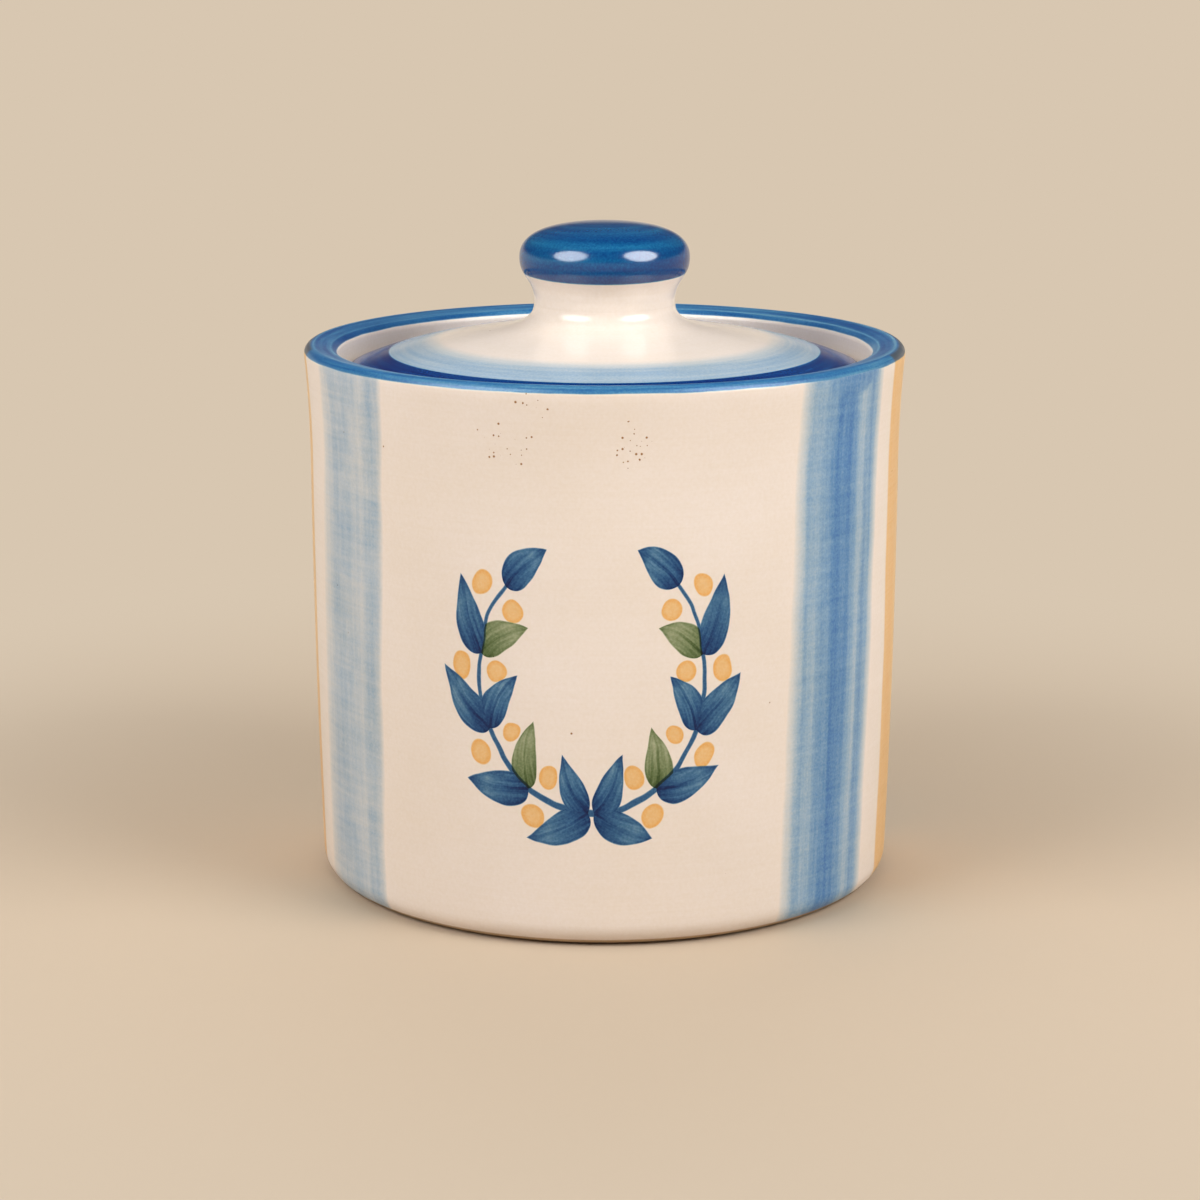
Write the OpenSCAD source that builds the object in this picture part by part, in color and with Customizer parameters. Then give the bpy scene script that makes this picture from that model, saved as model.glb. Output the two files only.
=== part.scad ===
// Sugar canister: a thrown stoneware jar and an inset lid with a bun-shaped knob.
// Millimetres, +Z up, origin on the table at the middle of the foot ring.

/* [Jar] */
// Outside diameter of the jar at its rim
rim_d = 150; // [136:1:170]
// Height of the jar, from the table to the top of its rim
jar_h = 135.2; // [90:0.2:190]
// Outside diameter that the wall runs to at the table
base_d = 144.4; // [132:0.2:156]
// How far the wall bows out half-way up
belly = 0.75; // [0:0.05:4]
// How far the rim turns outwards
flare = 1.4; // [0:0.1:4]
// Height of the stretch below the rim that turns outwards
flare_h = 27; // [8:1:45]
// Thickness of the wall below the ledge
wall_t = 6.2; // [4:0.1:8]
// Thickness of the floor
floor_t = 7; // [4:0.5:12]
// Inside rounding between floor and wall
floor_round = 9; // [2:0.5:16]

/* [Foot] */
// Rounding of the wall into the foot
base_round = 6; // [2:0.5:10]
// Width of the flat ring that stands on the table
foot_w = 9; // [5:0.5:16]
// Height of the hollow inside the foot ring
foot_recess = 1.5; // [0.5:0.1:3]

/* [Rim and ledge] */
// Thickness of the rim, from its outside to the wall around the lid
rim_t = 8.4; // [6.8:0.1:10]
// Slope of the rim's top, down towards the lid
rim_slope = 11; // [0:0.5:20]
// Rounding of the rim's outer edge
rim_outer_round = 2.2; // [0.5:0.1:3]
// Rounding of the rim's inner edge
rim_inner_round = 2.4; // [0.5:0.1:3.5]
// Depth of the lid's ledge below the top of the rim
gallery_depth = 11.1; // [7:0.1:20]
// Width of the ledge
ledge_w = 7.6; // [6:0.1:12]
// Thickness of the ledge at its lip
ledge_t = 4; // [2.5:0.5:8]
// Rounding of the ledge's lip, and of the corner behind it
ledge_round = 1; // [0.3:0.1:1.2]
// Slope of the ledge's underside, from level
ledge_slope = 45; // [30:1:60]

/* [Lid] */
// Gap between the lid's edge and the rim around it
lid_gap = 2.4; // [0.5:0.1:3.2]
// Thickness of the lid at its edge
lid_edge_t = 5.3; // [3.5:0.1:9]
// Rounding of the lid's edge, above and below
lid_edge_round = 1.2; // [0.3:0.1:1.6]
// Width of the flat seat under the lid's edge
lid_seat_w = 6.3; // [5:0.1:12]
// Rise of the crown, from the lid's edge to the foot of the knob
crown_h = 15; // [11:0.1:24]
// Slope of the crown, and of the hollow beneath it, at the edge
crown_slope = 24; // [12:0.5:35]
// Reach of the crown's slope towards the knob
crown_sweep = 24; // [10:0.5:32]
// Reach of the sweep down from the neck into the crown
neck_sweep = 8.5; // [3:0.5:12]
// Thickness of the lid under the knob
boss_t = 10; // [6:0.5:14]
// Reach of the hollow's slope towards the middle
hollow_sweep = 15; // [6:0.5:24]

/* [Knob] */
// Widest diameter of the knob
knob_d = 42.6; // [36:0.2:60]
// Diameter of the knob's neck
neck_d = 35.4; // [24:0.2:42]
// Height of the straight part of the neck
neck_h = 1.4; // [0:0.1:6]
// Height of the flare from the neck to the widest part
under_h = 10.3; // [5:0.1:18]
// Height of the cap above the widest part
cap_h = 8.7; // [4:0.1:18]
// Fullness of the cap's shoulder: 0.55 is an ellipse, more is squarer
cap_fullness = 0.8; // [0.4:0.05:0.9]

/* [Hidden] */
$fn = 96;
wall_steps = 14;
curve_steps = 12;
arc_steps = 6;
circle_handle = 0.5523;

rim_r = rim_d / 2;
base_r = base_d / 2;
rim_in_r = rim_r - rim_t;
wall_top = jar_h - rim_outer_round;
floor_z = foot_recess + floor_t;
ledge_z = jar_h - gallery_depth;
ledge_r = rim_in_r - ledge_w;
ledge_under_z = ledge_z - ledge_t;

lid_r = rim_in_r - lid_gap;
lid_seat_r = lid_r - lid_edge_round - lid_seat_w;
lid_edge_z = ledge_z + lid_edge_t;
neck_r = neck_d / 2;
knob_r = knob_d / 2;
knob_seat_z = lid_edge_z + crown_h;
neck_top_z = knob_seat_z + neck_h;
knob_wide_z = neck_top_z + under_h;
knob_top_z = knob_wide_z + cap_h;

// Outside radius of the wall at a height
function wall_r(z) =
    let (rise = z / wall_top, turn = max(0, (z - wall_top + flare_h) / flare_h))
    base_r + (rim_r - flare - base_r) * rise + 4 * belly * rise * (1 - rise) + flare * turn * turn;

// Points along an arc, from one angle to another
function arc(centre, radius, from, to) =
    [for (i = [0 : arc_steps]) let (a = from + (to - from) * i / arc_steps)
        centre + radius * [cos(a), sin(a)]];

// Points along a cubic curve that leaves p0 towards p1 and arrives at p3 from p2
function curve(p0, p1, p2, p3) =
    [for (i = [0 : curve_steps]) let (t = i / curve_steps, s = 1 - t)
        s * s * s * p0 + 3 * s * s * t * p1 + 3 * s * t * t * p2 + t * t * t * p3];

// Points up the wall between two heights, set in from its outside
function wall_line(low, high, inset) =
    [for (i = [0 : wall_steps]) let (z = low + (high - low) * i / wall_steps)
        [wall_r(z) - inset, z]];

function reversed(points) = [for (i = [len(points) - 1 : -1 : 0]) points[i]];

function base_outline() =
    let (round_r = wall_r(base_round) - base_round, ring_r = round_r - foot_w)
    concat(
        [[0, foot_recess], [ring_r - foot_recess, foot_recess], [ring_r, 0]],
        arc([round_r, base_round], base_round, -90, 0));

// The rim's outer edge, then its inner edge at the foot of the slope between them
function rim_outline() =
    let (
        slope_w = rim_t - rim_outer_round * (1 + sin(rim_slope)) - rim_inner_round * (1 - sin(rim_slope)),
        inner_z = wall_top + (rim_outer_round - rim_inner_round) * cos(rim_slope) - slope_w * tan(rim_slope))
    concat(
        arc([rim_r - rim_outer_round, wall_top], rim_outer_round, 0, 90 + rim_slope),
        arc([rim_in_r + rim_inner_round, inner_z], rim_inner_round, 90 + rim_slope, 180));

// The corner behind the ledge, then its lip
function ledge_outline() =
    concat(
        arc([rim_in_r - ledge_round, ledge_z + ledge_round], ledge_round, 0, -90),
        arc([ledge_r + ledge_round, ledge_z - ledge_round], ledge_round, 90, 180),
        arc([ledge_r + ledge_round, ledge_under_z + ledge_round], ledge_round,
            180, 270 - ledge_slope));

function inside_outline() =
    let (
        ledge_reach = wall_r(ledge_under_z) - wall_t - ledge_r,
        under_z = ledge_under_z - ledge_reach * tan(ledge_slope),
        corner_z = floor_z + floor_round,
        corner_r = wall_r(corner_z) - wall_t - floor_round)
    concat(
        reversed(wall_line(corner_z, under_z, wall_t)),
        arc([corner_r, corner_z], floor_round, 0, -90),
        [[0, floor_z]]);

module jar() {
    color("#e4d3c0")
        rotate_extrude()
            polygon(concat(
                base_outline(),
                wall_line(base_round, wall_top, 0),
                rim_outline(),
                ledge_outline(),
                inside_outline()));
}

function lid_edge_outline() =
    let (inset_r = lid_r - lid_edge_round)
    concat(
        arc([inset_r, ledge_z + lid_edge_round], lid_edge_round, -90, 0),
        arc([inset_r, lid_edge_z - lid_edge_round], lid_edge_round, 0, 90 - crown_slope));

module lid() {
    uphill = [-cos(crown_slope), sin(crown_slope)];
    edge = lid_edge_outline();
    crown_foot = edge[len(edge) - 1];
    hollow_foot = [lid_seat_r, ledge_z];
    hollow_top = knob_seat_z - boss_t;
    color("#ded6cc")
        rotate_extrude()
            polygon(concat(
                reversed(curve(hollow_foot, hollow_foot + hollow_sweep * uphill,
                    [neck_r, hollow_top], [0, hollow_top])),
                edge,
                curve(crown_foot, crown_foot + crown_sweep * uphill,
                    [neck_r, knob_seat_z - neck_sweep], [neck_r, knob_seat_z]),
                [[0, knob_seat_z]]));
}

module knob() {
    flare_mid_z = neck_top_z + under_h / 2;
    color("#1d5288")
        rotate_extrude()
            polygon(concat(
                [[0, knob_seat_z], [neck_r, knob_seat_z]],
                curve([neck_r, neck_top_z], [neck_r, flare_mid_z],
                    [knob_r, flare_mid_z], [knob_r, knob_wide_z]),
                curve([knob_r, knob_wide_z], [knob_r, knob_wide_z + circle_handle * cap_h],
                    [cap_fullness * knob_r, knob_top_z], [0, knob_top_z])));
}

jar();
lid();
knob();
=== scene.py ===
"""Looks of a thrown stoneware sugar canister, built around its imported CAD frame.

The jar, lid and knob are turned as smooth meshes on the frame's own sizes. Their glaze, oxide
brushwork and bare clay are procedural, laid out in millimetres round the axis they were thrown on.
"""
import math
from types import SimpleNamespace

import bmesh
import bpy
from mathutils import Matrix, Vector, geometry, noise


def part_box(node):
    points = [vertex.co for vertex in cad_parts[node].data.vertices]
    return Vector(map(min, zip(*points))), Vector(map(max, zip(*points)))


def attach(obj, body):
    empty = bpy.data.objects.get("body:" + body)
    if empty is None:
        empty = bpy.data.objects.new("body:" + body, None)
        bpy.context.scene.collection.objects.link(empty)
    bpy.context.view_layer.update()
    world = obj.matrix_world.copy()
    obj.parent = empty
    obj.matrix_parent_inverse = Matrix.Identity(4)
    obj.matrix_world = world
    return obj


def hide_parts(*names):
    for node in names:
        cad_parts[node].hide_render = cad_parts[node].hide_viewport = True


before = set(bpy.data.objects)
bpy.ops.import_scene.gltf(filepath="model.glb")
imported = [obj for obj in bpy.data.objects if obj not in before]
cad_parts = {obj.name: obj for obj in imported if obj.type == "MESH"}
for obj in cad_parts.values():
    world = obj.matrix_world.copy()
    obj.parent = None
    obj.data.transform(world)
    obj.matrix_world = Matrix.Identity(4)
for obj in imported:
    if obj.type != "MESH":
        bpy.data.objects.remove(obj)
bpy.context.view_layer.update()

MM = 0.001

# Sizes that the frame gives
jar_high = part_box("jar")[1]
lid_low, lid_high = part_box("lid")
knob_low, knob_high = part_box("knob")
RIM_R = jar_high.x
JAR_H = jar_high.z
LID_R = lid_high.x
LEDGE_Z = lid_low.z
KNOB_SEAT_Z = knob_low.z
KNOB_R = knob_high.x
KNOB_TOP_Z = knob_high.z

# Sizes of the outlines, as in the CAD model
BASE_R = 72.2 * MM
BELLY = 0.75 * MM
FLARE = 1.4 * MM
FLARE_H = 27 * MM
WALL_T = 6.2 * MM
FLOOR_Z = 8.5 * MM
FLOOR_ROUND = 9 * MM
BASE_ROUND = 6 * MM
FOOT_W = 9 * MM
FOOT_RECESS = 1.5 * MM
RIM_IN_R = 66.6 * MM
RIM_SLOPE = math.radians(11)
RIM_OUTER_ROUND = 2.2 * MM
RIM_INNER_ROUND = 2.4 * MM
LEDGE_R = 59 * MM
LEDGE_T = 4 * MM
LEDGE_ROUND = 1 * MM
LEDGE_SLOPE = math.radians(45)
LID_EDGE_T = 5.3 * MM
LID_EDGE_ROUND = 1.2 * MM
LID_SEAT_R = 56.7 * MM
CROWN_SLOPE = math.radians(24)
CROWN_SWEEP = 24 * MM
NECK_SWEEP = 8.5 * MM
HOLLOW_SWEEP = 15 * MM
BOSS_T = 10 * MM
NECK_R = 17.7 * MM
NECK_H = 1.4 * MM
UNDER_H = 10.3 * MM
CAP_FULLNESS = 0.8
CIRCLE_HANDLE = 0.5523
WALL_TOP = JAR_H - RIM_OUTER_ROUND

# How finely the pieces are turned
SEGMENTS = 256
WALL_STEPS = 44
INSIDE_STEPS = 80
CROWN_STEPS = 80
CURVE_STEPS = 40
ARC_STEPS = 10
WELD = 0.002 * MM
SHARP = math.radians(40)

# Unevenness left by the hands, and the heights between which fingers left rings inside the jar
WOBBLE = 0.12 * MM
WOBBLE_SPAN = 45 * MM
RING_DEPTH = 0.28 * MM
RING_PITCH = 8.5 * MM
RINGS_LOW = FLOOR_Z + FLOOR_ROUND
RINGS_HIGH = LEDGE_Z - 8 * MM


def wall_r(z):
    """Outside radius of the jar's wall at a height."""
    rise = z / WALL_TOP
    turn = max(0, (z - WALL_TOP + FLARE_H) / FLARE_H)
    straight = BASE_R + (RIM_R - FLARE - BASE_R) * rise
    return straight + 4 * BELLY * rise * (1 - rise) + FLARE * turn * turn


def inside_wall(r, z):
    """Whether a point is on the jar's inner wall, clear of the floor and the ledge."""
    return r < wall_r(z) - WALL_T / 2 and RINGS_LOW < z < RINGS_HIGH


def point(r, z):
    """A point of an outline, which is drawn in the XZ plane."""
    return Vector((r, 0, z))


def arc(r, z, radius, start, end):
    """Points round part of a circle about (r, z), between two angles in degrees."""
    angles = [math.radians(start + (end - start) * i / ARC_STEPS) for i in range(ARC_STEPS + 1)]
    return [point(r + radius * math.cos(a), z + radius * math.sin(a)) for a in angles]


def wall_line(low, high, inset, steps):
    """Points up the wall between two heights, set in from its outside."""
    heights = [low + (high - low) * i / steps for i in range(steps + 1)]
    return [point(wall_r(z) - inset, z) for z in heights]


def rim_outline():
    """The rim's outer edge, then its inner edge at the foot of the slope between them."""
    lean = math.degrees(RIM_SLOPE)
    sine = math.sin(RIM_SLOPE)
    slope_w = RIM_R - RIM_IN_R - RIM_OUTER_ROUND * (1 + sine) - RIM_INNER_ROUND * (1 - sine)
    step_down = (RIM_INNER_ROUND - RIM_OUTER_ROUND) * math.cos(RIM_SLOPE) + slope_w * math.tan(RIM_SLOPE)
    return [
        *arc(RIM_R - RIM_OUTER_ROUND, WALL_TOP, RIM_OUTER_ROUND, 0, 90 + lean),
        *arc(RIM_IN_R + RIM_INNER_ROUND, WALL_TOP - step_down, RIM_INNER_ROUND, 90 + lean, 180),
    ]


def jar_outline():
    """From the middle of the underside, up the outside, over the rim and ledge, and down the inside."""
    round_r = wall_r(BASE_ROUND) - BASE_ROUND
    ring_r = round_r - FOOT_W
    lip_r = LEDGE_R + LEDGE_ROUND
    lip_z = LEDGE_Z - LEDGE_T
    under_z = lip_z - (wall_r(lip_z) - WALL_T - LEDGE_R) * math.tan(LEDGE_SLOPE)
    corner_z = FLOOR_Z + FLOOR_ROUND
    corner_r = wall_r(corner_z) - WALL_T - FLOOR_ROUND
    return [
        point(0, FOOT_RECESS), point(ring_r - FOOT_RECESS, FOOT_RECESS), point(ring_r, 0),
        *arc(round_r, BASE_ROUND, BASE_ROUND, -90, 0),
        *wall_line(BASE_ROUND, WALL_TOP, 0, WALL_STEPS),
        *rim_outline(),
        *arc(RIM_IN_R - LEDGE_ROUND, LEDGE_Z + LEDGE_ROUND, LEDGE_ROUND, 0, -90),
        *arc(lip_r, LEDGE_Z - LEDGE_ROUND, LEDGE_ROUND, 90, 180),
        *arc(lip_r, lip_z + LEDGE_ROUND, LEDGE_ROUND, 180, 270 - math.degrees(LEDGE_SLOPE)),
        *reversed(wall_line(corner_z, under_z, WALL_T, INSIDE_STEPS)),
        *arc(corner_r, corner_z, FLOOR_ROUND, 0, -90),
        point(0, FLOOR_Z),
    ]


def lid_outline():
    """From the middle of the hollow underside, round the edge and up the crown to the knob's seat."""
    uphill = point(-math.cos(CROWN_SLOPE), math.sin(CROWN_SLOPE))
    inset_r = LID_R - LID_EDGE_ROUND
    edge_z = LEDGE_Z + LID_EDGE_T - LID_EDGE_ROUND
    edge = [
        *arc(inset_r, LEDGE_Z + LID_EDGE_ROUND, LID_EDGE_ROUND, -90, 0),
        *arc(inset_r, edge_z, LID_EDGE_ROUND, 0, 90 - math.degrees(CROWN_SLOPE)),
    ]
    hollow_foot = point(LID_SEAT_R, LEDGE_Z)
    hollow_z = KNOB_SEAT_Z - BOSS_T
    hollow = geometry.interpolate_bezier(
        hollow_foot, hollow_foot + HOLLOW_SWEEP * uphill,
        point(NECK_R, hollow_z), point(0, hollow_z), CURVE_STEPS)
    crown = geometry.interpolate_bezier(
        edge[-1], edge[-1] + CROWN_SWEEP * uphill,
        point(NECK_R, KNOB_SEAT_Z - NECK_SWEEP), point(NECK_R, KNOB_SEAT_Z), CROWN_STEPS)
    return [*reversed(hollow), *edge, *crown, point(0, KNOB_SEAT_Z)]


def knob_outline():
    """From the middle of its seat, up the neck and round the bun."""
    neck_top = KNOB_SEAT_Z + NECK_H
    wide_z = neck_top + UNDER_H
    middle_z = neck_top + UNDER_H / 2
    cap_h = KNOB_TOP_Z - wide_z
    under = geometry.interpolate_bezier(
        point(NECK_R, neck_top), point(NECK_R, middle_z),
        point(KNOB_R, middle_z), point(KNOB_R, wide_z), CURVE_STEPS)
    cap = geometry.interpolate_bezier(
        point(KNOB_R, wide_z), point(KNOB_R, wide_z + CIRCLE_HANDLE * cap_h),
        point(CAP_FULLNESS * KNOB_R, KNOB_TOP_Z), point(0, KNOB_TOP_Z), CURVE_STEPS)
    return [point(0, KNOB_SEAT_Z), point(NECK_R, KNOB_SEAT_Z), *under, *cap]


def leave_hand_marks(bm, ringed):
    """Draws the turned shape in a little unevenly, and leaves a spiral of rings where ringed says so."""
    for vert in bm.verts:
        out = Vector((vert.co.x, vert.co.y, 0))
        if out.length < WELD:
            continue
        shift = WOBBLE * (noise.noise(vert.co / WOBBLE_SPAN) - 1) / 2
        if ringed(out.length, vert.co.z):
            turn = math.atan2(vert.co.y, vert.co.x)
            shift += RING_DEPTH * math.sin(math.tau * vert.co.z / RING_PITCH + turn)
        vert.co += shift * out.normalized()


def turned(name, outline, ringed=lambda r, z: False):
    """A closed piece spun from an outline that starts and ends on the axis."""
    bm = bmesh.new()
    corners = [bm.verts.new(p) for p in outline]
    for pair in zip(corners, corners[1:]):
        bm.edges.new(pair)
    bmesh.ops.spin(bm, geom=bm.verts[:] + bm.edges[:], cent=(0, 0, 0), axis=(0, 0, 1),
                   angle=math.tau, steps=SEGMENTS, use_merge=True)
    bmesh.ops.remove_doubles(bm, verts=bm.verts, dist=WELD)
    bmesh.ops.dissolve_degenerate(bm, edges=bm.edges, dist=WELD)
    leave_hand_marks(bm, ringed)
    bmesh.ops.recalc_face_normals(bm, faces=bm.faces)
    for edge in bm.edges:
        edge.smooth = edge.calc_face_angle(0) < SHARP
    for face in bm.faces:
        face.smooth = True
    mesh = bpy.data.meshes.new(name)
    bm.to_mesh(mesh)
    bm.free()
    piece = bpy.data.objects.new(name, mesh)
    bpy.context.collection.objects.link(piece)
    return piece


def linear(colour):
    """A linear RGBA colour from an sRGB hex value."""
    parts = [int(colour[i:i + 2], 16) / 255 for i in (1, 3, 5)]
    return (*[c / 12.92 if c <= 0.04045 else ((c + 0.055) / 1.055) ** 2.4 for c in parts], 1)


def add(tree, kind, links=(), stops=(), **settings):
    """Adds a node, sets its properties, ramp and inputs, and gives its outputs."""
    node = tree.nodes.new("ShaderNode" + kind)
    for name, value in settings.items():
        setattr(node, name, value)
    for i, (position, level) in enumerate(stops):
        element = node.color_ramp.elements[i] if i < 2 else node.color_ramp.elements.new(position)
        element.position = position
        element.color = (level, level, level, 1)
    for key, value in dict(links).items():
        if isinstance(value, bpy.types.NodeSocket):
            tree.links.new(value, node.inputs[key])
        else:
            node.inputs[key].default_value = value
    return node.outputs


# From here on, lengths in the patterns and the painting are in millimetres, and turns from the front
# in degrees. A pair of coats is the thinnest and the thickest that a brush leaves.

# Colours of the glaze and clay, as they look under white light
CREAM = (linear("#E6DBD3"), linear("#DED0C1"))
SPECK = linear("#8A5A14")
CLAY = (linear("#C9AE8E"), linear("#A98B69"))
# Colours of the oxides: the share of light that a coat of thickness 1 lets back through
COBALT_WASH = linear("#6099D9")
COBALT_DRY = linear("#6093D0")
COBALT_RIM = linear("#64A6D5")
COBALT_THICK = linear("#52A9D4")
COBALT_LEAF = linear("#74A3C9")
OCHRE = linear("#FCDDA9")
OLIVE = linear("#A0B292")
# Where ochre runs under cobalt, the two fire to a dark grey
OXIDES_MET = linear("#45494B")

# Finish of the glazes, whose roughness grows from their hollows to their ridges, and of the clay
JAR_IOR = 1.36
JAR_ROUGHNESS = (0.27, 0.38)
LID_IOR = 1.42
LID_ROUGHNESS = (0.13, 0.21)
KNOB_IOR = 1.58
KNOB_ROUGHNESS = (0.11, 0.17)
CLAY_ROUGHNESS = 0.85
RELIEF_DEPTH = 0.05 * MM
RELIEF_STRENGTH = 0.5

# Most of what a noise texture gives lies in this span, about this middle
NOISE_SPAN = {"From Min": 0.3, "From Max": 0.7}
NOISE_MIDDLE = (0.5, 0.5, 0.5)

# Patterns of the glaze and clay, turning lines by their lengths along X, Y and Z, and the shares that
# they have in tone and relief. Real grain is finer, and is drawn as coarse as it needs to show.
CLOUD = 30
TURNING_LINES = (60, 60, 0.7)
PEEL = 4
GLAZE_GRAIN = 0.8
CLAY_GRAIN = 0.6
GRAIN_SHARE = 0.6
FINE_SHARE = 0.6
PEEL_SHARE = 0.4
# Grain of the oxides, and how thin and thick they settle in it
OXIDE_GRAIN = 0.55
OXIDE_SETTLES = (0.86, 1.14)
# Iron specks: cell that may hold one, largest radius, share of the cells that do, full core of a speck
SPECK_CELL = 2.6
SPECK_R = 0.36
SPECK_SHARE = 0.02
SPECK_CORE = 0.5
FRECKLE_CELL = 1.3
FRECKLE_R = 0.38
FRECKLE_SHARE = 0.7
# Patches of freckles below the rim: turn, height, radius
FRECKLES = ((-14, 131, 6.5), (-18, 121.5, 8), (5.5, 121, 7))
# Radius at which the wall is rolled out flat for freckles and painting
PANEL_R = 73.8

# Brush marks: their lengths along X, Y and Z, and the coats that they leave
BRISTLES = ((1.8, 1.8, 140), (0.8, 1.2))
RIDGES = ((30, 30, 1.5), (0.9, 1.1))
MOTTLE = ((1.3, 1.3, 1.3), (0.92, 1.08))
PATCHES = ((7, 7, 13), (0.8, 1.2))
OCHRE_BRISTLES = ((1.8, 1.8, 140), (1.1, 1.4))
# The same for work on the wheel, where the third length lies across the stroke
RIM_BRISTLES = ((40, 40, 1.3), (0.95, 2.1))
LID_BRISTLES = ((40, 40, 1.6), (0.78, 1.22))
KNOB_BRISTLES = ((60, 60, 5), (1.8, 2.9))


def wash_group():
    """A grainy coat of oxide under a clear glaze: the thicker it is, the less of what lies below shows."""
    tree = bpy.data.node_groups.new("oxide_wash", "ShaderNodeTree")
    for name in ("Below", "Oxide"):
        tree.interface.new_socket(name, in_out="INPUT", socket_type="NodeSocketColor")
    tree.interface.new_socket("Coat", in_out="INPUT", socket_type="NodeSocketFloat")
    tree.interface.new_socket("Colour", in_out="OUTPUT", socket_type="NodeSocketColor")
    given = tree.nodes.new("NodeGroupInput").outputs
    metres = add(tree, "TexCoord")["Object"]
    grain = add(tree, "TexNoise", {"Vector": metres, "Scale": 1 / (OXIDE_GRAIN * MM), "Detail": 2})[0]
    settled = add(tree, "MapRange", {"Value": grain, **NOISE_SPAN,
                                     "To Min": OXIDE_SETTLES[0], "To Max": OXIDE_SETTLES[1]})[0]
    coat = add(tree, "Math", {0: given["Coat"], 1: settled}, operation="MULTIPLY")[0]
    through = [
        add(tree, "Math", {0: part, 1: coat}, operation="POWER")[0]
        for part in add(tree, "SeparateColor", {0: given["Oxide"]})
    ]
    filtered = add(tree, "CombineColor", dict(enumerate(through)))[0]
    seen = add(tree, "Mix", {0: 1.0, 6: given["Below"], 7: filtered},
               data_type="RGBA", blend_type="MULTIPLY")[2]
    tree.links.new(seen, tree.nodes.new("NodeGroupOutput").inputs[0])
    return tree


WASH = wash_group()


def washed(tree, below, coats):
    """The colour below, seen through coats of oxide that were brushed on one after another."""
    for oxide, coat in coats:
        below = add(tree, "Group", {"Below": below, "Oxide": oxide, "Coat": coat}, node_tree=WASH)[0]
    return below


def place(tree):
    """Where a surface point lies: millimetres, radius, turn from the front in radians, height.

    On the wheel, a brush draws lines along which radius less height stays the same.
    """
    metres = add(tree, "TexCoord")["Object"]
    mm = add(tree, "VectorMath", {0: metres, "Scale": 1 / MM}, operation="SCALE")[0]
    x, y, z = add(tree, "SeparateXYZ", {0: mm})
    level = add(tree, "VectorMath", {0: mm, 1: (1, 1, 0)}, operation="MULTIPLY")[0]
    r = add(tree, "VectorMath", {0: level}, operation="LENGTH")["Value"]
    towards = add(tree, "Math", {0: y, 1: -1}, operation="MULTIPLY")[0]
    turn = add(tree, "Math", {0: x, 1: towards}, operation="ARCTAN2")[0]
    stroke = add(tree, "Math", {0: r, 1: z}, operation="SUBTRACT")[0]
    wheel = add(tree, "CombineXYZ", {0: x, 1: y, 2: stroke})[0]
    return SimpleNamespace(mm=mm, x=x, y=y, z=z, r=r, turn=turn, level=level, wheel=wheel)


def dots(tree, where, cell, radius, share, dimensions="3D"):
    """Round specks, none larger than the radius, in a share of the cells."""
    cells = add(tree, "TexVoronoi", {"Vector": where, "Scale": 1 / cell}, voronoi_dimensions=dimensions)
    chance = add(tree, "SeparateColor", {0: cells["Color"]})
    size = add(tree, "Math", {0: chance[1], 1: radius / cell}, operation="MULTIPLY")[0]
    core = add(tree, "Math", {0: size, 1: SPECK_CORE}, operation="MULTIPLY")[0]
    dot = add(tree, "MapRange", {"Value": cells["Distance"], "From Min": size, "From Max": core})[0]
    present = add(tree, "Math", {0: chance[0], 1: share}, operation="LESS_THAN")[0]
    return add(tree, "Math", {0: dot, 1: present}, operation="MULTIPLY")[0]


def freckles(tree, at):
    """Fine iron freckles on the wall, gathered in a few patches."""
    around = add(tree, "Math", {0: at.turn, 1: PANEL_R}, operation="MULTIPLY")[0]
    flat = add(tree, "CombineXYZ", {0: around, 1: at.z})[0]
    share = 0.0
    for turn, height, radius in FRECKLES:
        middle = (PANEL_R * math.radians(turn), height, 0)
        apart = add(tree, "VectorMath", {0: flat, 1: middle}, operation="DISTANCE")["Value"]
        share = add(tree, "MapRange", {"Value": apart, "From Min": radius, "From Max": 0,
                                       "To Min": share, "To Max": FRECKLE_SHARE})[0]
    return dots(tree, flat, FRECKLE_CELL, FRECKLE_R, share, "2D")


def cream_glaze(tree, at):
    """Colour and relief of the cream glaze: faint clouds and grain, fine turning lines, iron specks."""
    cloud = add(tree, "TexNoise", {"Vector": at.mm, "Scale": 1 / CLOUD, "Detail": 3})[0]
    along = add(tree, "VectorMath", {0: at.mm, 1: TURNING_LINES}, operation="DIVIDE")[0]
    lines = add(tree, "TexNoise", {"Vector": along, "Scale": 1, "Detail": 4, "Roughness": 0.7})[0]
    peel = add(tree, "TexNoise", {"Vector": at.mm, "Scale": 1 / PEEL, "Detail": 2})[0]
    grain = add(tree, "TexNoise", {"Vector": at.mm, "Scale": 1 / GLAZE_GRAIN, "Detail": 2})[0]
    fine = add(tree, "Mix", {0: GRAIN_SHARE, 2: lines, 3: grain})[0]
    tone = add(tree, "Mix", {0: FINE_SHARE, 2: cloud, 3: fine})[0]
    spread = add(tree, "MapRange", {"Value": tone, **NOISE_SPAN})[0]
    clear = add(tree, "Mix", {0: spread, 6: CREAM[0], 7: CREAM[1]}, data_type="RGBA")[2]
    specks = dots(tree, at.mm, SPECK_CELL, SPECK_R, SPECK_SHARE)
    specked = add(tree, "Mix", {0: specks, 6: clear, 7: SPECK}, data_type="RGBA")[2]
    relief = add(tree, "Mix", {0: PEEL_SHARE, 2: lines, 3: peel})[0]
    return specked, relief


def streaks(tree, where, lengths, coats):
    """Thick and thin of a brush stroke, in marks drawn out along the way the brush went."""
    along = add(tree, "VectorMath", {0: where, 1: lengths}, operation="DIVIDE")[0]
    marks = add(tree, "TexNoise", {"Vector": along, "Scale": 1, "Detail": 3, "Roughness": 0.6})[0]
    return add(tree, "MapRange", {"Value": marks, **NOISE_SPAN, "To Min": coats[0], "To Max": coats[1]})[0]


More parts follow.
